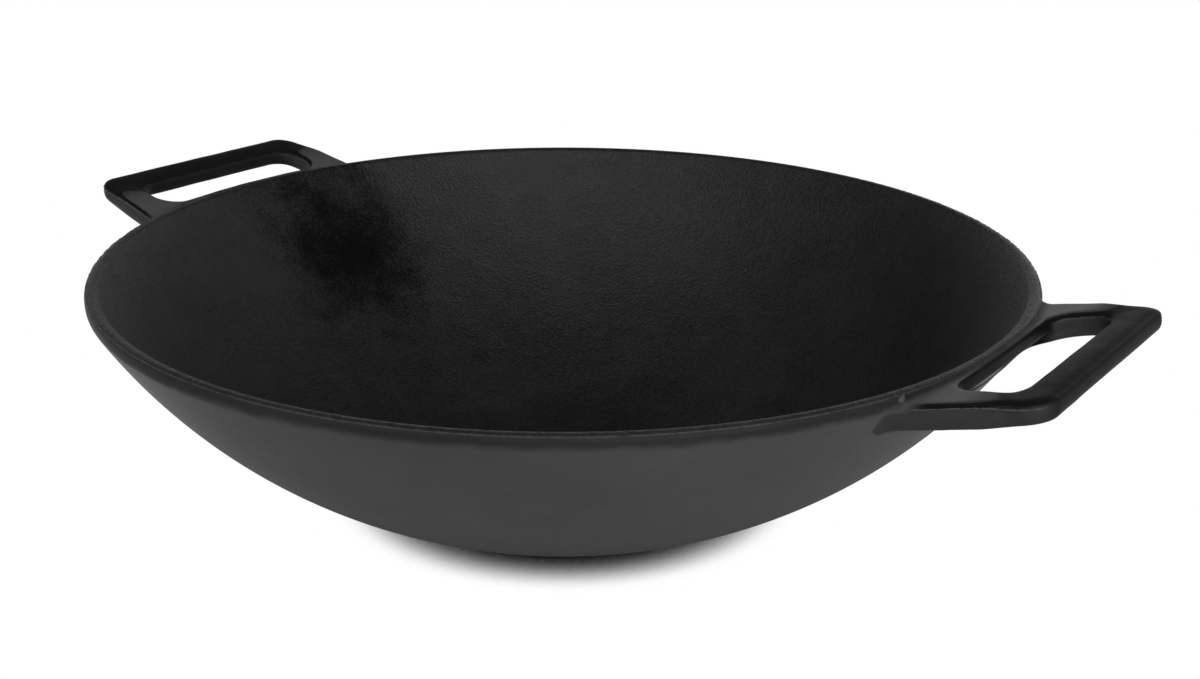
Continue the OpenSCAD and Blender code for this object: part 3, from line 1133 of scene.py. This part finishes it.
def stage_floor(studio):
    """A flat round floor that runs up into a low wall."""
    flat, cove = studio.floor_radius, studio.cove
    path = points_of(
        line((0, 0), (flat, 0), FLOOR_STEPS),
        arc((flat, cove), (flat, 0), (flat + cove, cove), COVE_STEPS),
    )
    floor = turned("floor", path, FLOOR_TURNS, floor_material(studio))
    # The turned path's faces point down
    floor.data.flip_normals()


def lamp(name, studio, turn, rise, width, height, power):
    """A soft lamp that looks at the bowl, from a turn off the camera's look and a rise."""
    data = bpy.data.lights.new(name, "AREA")
    data.shape = "RECTANGLE"
    data.size, data.size_y = width, height
    data.energy = power
    heading, rise = studio.heading - math.radians(turn), math.radians(rise)
    way = Vector((-math.sin(heading) * math.cos(rise), math.cos(heading) * math.cos(rise), math.sin(rise)))
    piece = placed(name, data)
    piece.location = way * studio.distance
    piece.rotation_euler = way.to_track_quat("Z", "Y").to_euler()


class WOK_OT_studio(bpy.types.Operator):
    """Make the floor, the lamps, the world and the camera"""

    bl_idname = "wok.studio"
    bl_label = "Make the studio"

    def execute(self, context):
        scene = context.scene
        studio = scene.wok_studio
        stage_floor(studio)
        camera = bpy.data.cameras.new("Camera")
        camera.sensor_width = studio.sensor
        camera.lens = studio.focal
        camera.clip_end = studio.view_depth
        view = placed("Camera", camera)
        aim = Matrix.Rotation(studio.heading, 4, "Z") @ Matrix.Rotation(math.pi / 2 - studio.pitch, 4, "X")
        lean = Matrix.Rotation(studio.roll, 4, "Z")
        view.matrix_world = Matrix.Translation(studio.place) @ aim @ lean
        scene.camera = view
        for name, placing in LAMPS.items():
            lamp(name, studio, *placing)
        world = bpy.data.worlds.new("Studio")
        nodes = fresh_nodes(world)
        back = nodes.add("ShaderNodeBackground", {}, {"Color": (studio.sky,) * 3, "Strength": 1.0})
        nodes.add("ShaderNodeOutputWorld", {}, {"Surface": back})
        scene.world = world
        scene.view_settings.view_transform = "Standard"
        return {"FINISHED"}


class WOK_PT_panel(bpy.types.Panel):
    """Lists the steps of the wok in the sidebar"""

    bl_idname = "WOK_PT_panel"
    bl_label = "Wok"
    bl_space_type = "VIEW_3D"
    bl_region_type = "UI"
    bl_category = "Wok"

    def draw(self, context):
        for step in STEPS:
            self.layout.operator(step.bl_idname)
        for name in GROUPS:
            box = self.layout.box()
            group = getattr(context.scene, name)
            for key in group.bl_rna.properties.keys():
                if key not in ("rna_type", "name"):
                    box.prop(group, key)


GROUPS = {
    "wok_bowl": WokBowl,
    "wok_handle": WokHandle,
    "wok_flash": WokFlash,
    "wok_iron": WokIron,
    "wok_studio": WokStudio,
}
STEPS = (WOK_OT_studio, WOK_OT_bowl, WOK_OT_handles, WOK_OT_flash)


def register():
    for group in GROUPS.values():
        bpy.utils.register_class(group)
    for name, group in GROUPS.items():
        setattr(bpy.types.Scene, name, PointerProperty(type=group))
    for kind in (*STEPS, WOK_PT_panel):
        bpy.utils.register_class(kind)


def unregister():
    for kind in (WOK_PT_panel, *reversed(STEPS)):
        bpy.utils.unregister_class(kind)
    for name, group in reversed(GROUPS.items()):
        delattr(bpy.types.Scene, name)
        bpy.utils.unregister_class(group)


def main():
    register()
    for step in STEPS:
        family, action = step.bl_idname.split(".")
        getattr(getattr(bpy.ops, family), action)()


if __name__ == "__main__":
    main()
